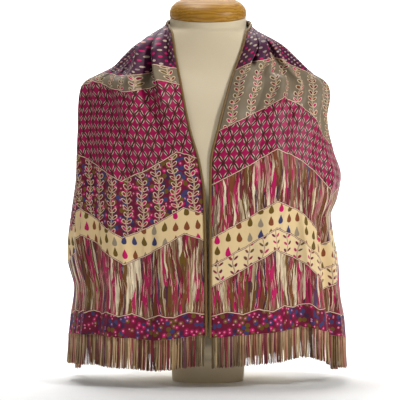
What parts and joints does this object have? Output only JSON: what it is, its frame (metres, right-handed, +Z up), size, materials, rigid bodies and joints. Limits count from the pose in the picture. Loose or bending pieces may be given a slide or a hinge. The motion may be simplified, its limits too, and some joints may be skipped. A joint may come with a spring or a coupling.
{
  "type": "silk scarf on a dress form",
  "caption": "Fringed silk scarf draped open over the shoulders of a limbless dress form with a turned wooden neck cap; soft folds, rolled edges, strand fringe on both ends.",
  "frame": {"origin": "on the floor under the middle of the dress form's flat foot", "axes": "+Z up the form, -Y towards the front where the scarf hangs open, +X to the right seen from the front"},
  "size_m": [0.43, 0.2602, 0.6053],
  "materials": {
    "form_cover": "matt cream cover",
    "cap_wood": "varnished turned wood",
    "printed_silk": "printed silk with a soft sheen",
    "rolled_edge": "rolled and stitched silk edge",
    "fringe_silk": "printed silk drawn out into strands"
  },
  "bodies": {
    "root": {"form_torso": "form_cover", "form_neck_cap": "cap_wood", "scarf_right_front": "printed_silk", "scarf_back": "printed_silk", "scarf_left_front": "printed_silk", "hem_inner_edge": "rolled_edge", "hem_outer_edge": "rolled_edge", "fringe_right": "fringe_silk", "fringe_left": "fringe_silk"}
  },
  "joints": []
}
